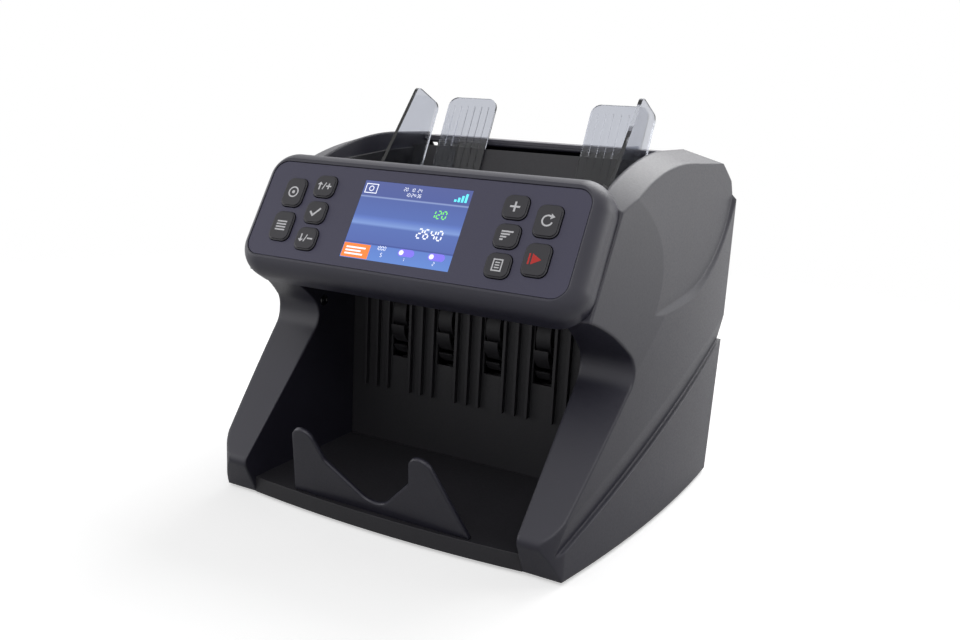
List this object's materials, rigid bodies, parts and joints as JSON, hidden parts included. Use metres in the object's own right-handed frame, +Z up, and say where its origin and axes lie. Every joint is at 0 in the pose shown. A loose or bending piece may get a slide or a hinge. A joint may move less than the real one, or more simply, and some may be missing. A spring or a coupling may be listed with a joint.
{
  "type": "banknote counter",
  "caption": "Desktop banknote counter: hopper with clear sliding guides on top, tilted panel with screen and keys, finned wheels that stack notes in an open front pocket, swing-open rear cover.",
  "frame": {"origin": "on the table under the middle of the part's box", "axes": "+X to the machine's right, front faces -Y, +Z up"},
  "size_m": [0.2724, 0.248, 0.258],
  "materials": {
    "charcoal_shell": "fine moulded texture, satin",
    "dark_plastic": "fine moulded texture",
    "rear_lid_plastic": "fine moulded texture",
    "overlay_sheet": "matte printed sheet",
    "window_glass": "gloss",
    "display_body": "matte",
    "key_plastic": "satin",
    "board": "coated board",
    "clear_plastic": "smoke-grey clear moulding",
    "steel": "plain",
    "bearing_steel": "ground",
    "roller_rubber": "matte",
    "wheel_rubber": "matte",
    "motor_metal": "satin",
    "pulley_alloy": "turned",
    "belt_rubber": "matte",
    "sensor_plastic": "gloss strip",
    "inlet_plastic": "gloss",
    "foot_rubber": "matte"
  },
  "bodies": {
    "chassis": {"base_tray": "dark_plastic", "control_panel_housing": "charcoal_shell", "cover_screws": "steel", "display_module": "display_body", "display_window": "window_glass", "drive_belts": "belt_rubber", "drive_motor": "motor_metal", "frame_plate_left": "steel", "frame_plate_right": "steel", "front_stop_plate": "charcoal_shell", "guide_rail": "dark_plastic", "hopper_floor": "dark_plastic", "key_boards": "board", "left_side_cover": "charcoal_shell", "lower_rear_panel": "charcoal_shell", "main_board": "board", "panel_overlay": "overlay_sheet", "pocket_back_wall": "dark_plastic", "power_inlet": "inlet_plastic", "power_supply": "steel", "rear_hinge_pin": "steel", "rear_paddle_left": "clear_plastic", "rear_paddle_right": "clear_plastic", "right_side_cover": "charcoal_shell", "rubber_feet": "foot_rubber", "sensor_bar": "sensor_plastic", "shaft_bearings": "bearing_steel"},
    "guide_right": {"hopper_guide_right": "clear_plastic", "guide_slider_right": "dark_plastic"},
    "guide_left": {"hopper_guide_left": "clear_plastic", "guide_slider_left": "dark_plastic"},
    "centring_pinion": {"guide_pinion": "dark_plastic"},
    "rear_door": {"rear_cover": "charcoal_shell", "rear_lid": "rear_lid_plastic"},
    "rocker": {"power_rocker": "inlet_plastic"},
    "transport_rotor": {"transport_shaft": "steel", "transport_rollers": "roller_rubber", "transport_pulley": "pulley_alloy"},
    "feed_rotor": {"feed_shaft": "steel", "feed_rollers": "roller_rubber", "feed_pulley": "pulley_alloy"},
    "pick_rotor": {"pick_shaft": "steel", "pick_rollers": "roller_rubber"},
    "stacker_rotor": {"stacker_shaft": "steel", "stacker_wheels": "wheel_rubber", "stacker_pulley": "pulley_alloy"},
    "motor_rotor": {"motor_pulley": "pulley_alloy"},
    "retard_rotor": {"retard_roller": "roller_rubber"},
    "pinch_rotor": {"pinch_roller": "roller_rubber"},
    "key_up_cap": {"key_up": "key_plastic"},
    "key_confirm_cap": {"key_confirm": "key_plastic"},
    "key_down_cap": {"key_down": "key_plastic"},
    "key_currency_cap": {"key_currency": "key_plastic"},
    "key_batch_cap": {"key_batch": "key_plastic"},
    "key_add_cap": {"key_add": "key_plastic"},
    "key_sort_cap": {"key_sort": "key_plastic"},
    "key_report_cap": {"key_report": "key_plastic"},
    "key_mode_cap": {"key_mode": "key_plastic"},
    "key_start_cap": {"key_start": "key_plastic"}
  },
  "joints": [
    {"name": "guide_spread", "type": "slide", "parent": "chassis", "child": "guide_right", "axis": [1, 0, 0], "range_m": [-0.028, 0.002]},
    {"name": "guide_spread_left", "type": "slide", "parent": "chassis", "child": "guide_left", "axis": [1, 0, 0], "range_m": [-0.002, 0.028]},
    {"name": "centring_turn", "type": "hinge", "parent": "chassis", "child": "centring_pinion", "pos_m": [0, 0.01469, 0.15736], "axis": [0, 0.3616, 0.9323], "range_deg": [-14.8, 201]},
    {"name": "rear_door_hinge", "type": "hinge", "parent": "chassis", "child": "rear_door", "pos_m": [0, 0.1155, 0.057], "axis": [-1, 0, 0], "range_deg": [0, 75]},
    {"name": "power_rock", "type": "hinge", "parent": "chassis", "child": "rocker", "pos_m": [-0.0455, 0.109, 0.026], "axis": [-1, 0, 0], "range_deg": [0, 16]},
    {"name": "transport_turn", "type": "hinge", "parent": "chassis", "child": "transport_rotor", "pos_m": [0, 0.078, 0.112], "axis": [1, 0, 0], "continuous": true},
    {"name": "feed_turn", "type": "hinge", "parent": "chassis", "child": "feed_rotor", "pos_m": [0, 0.062, 0.161], "axis": [1, 0, 0], "continuous": true},
    {"name": "pick_turn", "type": "hinge", "parent": "chassis", "child": "pick_rotor", "pos_m": [0, 0.02063, 0.17543], "axis": [1, 0, 0], "continuous": true},
    {"name": "stacker_turn", "type": "hinge", "parent": "chassis", "child": "stacker_rotor", "pos_m": [0, 0.028, 0.1], "axis": [1, 0, 0], "continuous": true},
    {"name": "motor_turn", "type": "hinge", "parent": "chassis", "child": "motor_rotor", "pos_m": [0, 0.058, 0.04], "axis": [1, 0, 0], "continuous": true},
    {"name": "retard_turn", "type": "hinge", "parent": "chassis", "child": "retard_rotor", "pos_m": [0, 0.0743, 0.1823], "axis": [1, 0, 0], "continuous": true},
    {"name": "pinch_turn", "type": "hinge", "parent": "chassis", "child": "pinch_rotor", "pos_m": [0, 0.1006, 0.112], "axis": [1, 0, 0], "continuous": true},
    {"name": "key_up_press", "type": "slide", "parent": "chassis", "child": "key_up_cap", "axis": [0, 0.8581, -0.5135], "range_m": [0, 0.001], "stiffness_N_per_m": 600},
    {"name": "key_confirm_press", "type": "slide", "parent": "chassis", "child": "key_confirm_cap", "axis": [0, 0.8581, -0.5135], "range_m": [0, 0.001], "stiffness_N_per_m": 600},
    {"name": "key_down_press", "type": "slide", "parent": "chassis", "child": "key_down_cap", "axis": [0, 0.8581, -0.5135], "range_m": [0, 0.001], "stiffness_N_per_m": 600},
    {"name": "key_currency_press", "type": "slide", "parent": "chassis", "child": "key_currency_cap", "axis": [0, 0.8581, -0.5135], "range_m": [0, 0.001], "stiffness_N_per_m": 600},
    {"name": "key_batch_press", "type": "slide", "parent": "chassis", "child": "key_batch_cap", "axis": [0, 0.8581, -0.5135], "range_m": [0, 0.001], "stiffness_N_per_m": 600},
    {"name": "key_add_press", "type": "slide", "parent": "chassis", "child": "key_add_cap", "axis": [0, 0.8581, -0.5135], "range_m": [0, 0.001], "stiffness_N_per_m": 600},
    {"name": "key_sort_press", "type": "slide", "parent": "chassis", "child": "key_sort_cap", "axis": [0, 0.8581, -0.5135], "range_m": [0, 0.001], "stiffness_N_per_m": 600},
    {"name": "key_report_press", "type": "slide", "parent": "chassis", "child": "key_report_cap", "axis": [0, 0.8581, -0.5135], "range_m": [0, 0.001], "stiffness_N_per_m": 600},
    {"name": "key_mode_press", "type": "slide", "parent": "chassis", "child": "key_mode_cap", "axis": [0, 0.8581, -0.5135], "range_m": [0, 0.001], "stiffness_N_per_m": 600},
    {"name": "key_start_press", "type": "slide", "parent": "chassis", "child": "key_start_cap", "axis": [0, 0.8581, -0.5135], "range_m": [0, 0.001], "stiffness_N_per_m": 600}
  ],
  "couplings": [
    {"joint": "guide_spread_left", "follows": "guide_spread", "ratio": -1},
    {"joint": "centring_turn", "follows": "guide_spread", "rad_per_m": -125},
    {"joint": "feed_turn", "follows": "transport_turn", "ratio": 1},
    {"joint": "pick_turn", "follows": "transport_turn", "ratio": 1.3333},
    {"joint": "stacker_turn", "follows": "transport_turn", "ratio": 0.85714},
    {"joint": "motor_turn", "follows": "transport_turn", "ratio": 2.2857},
    {"joint": "retard_turn", "follows": "transport_turn", "ratio": -1.6667},
    {"joint": "pinch_turn", "follows": "transport_turn", "ratio": -2.6667}
  ]
}
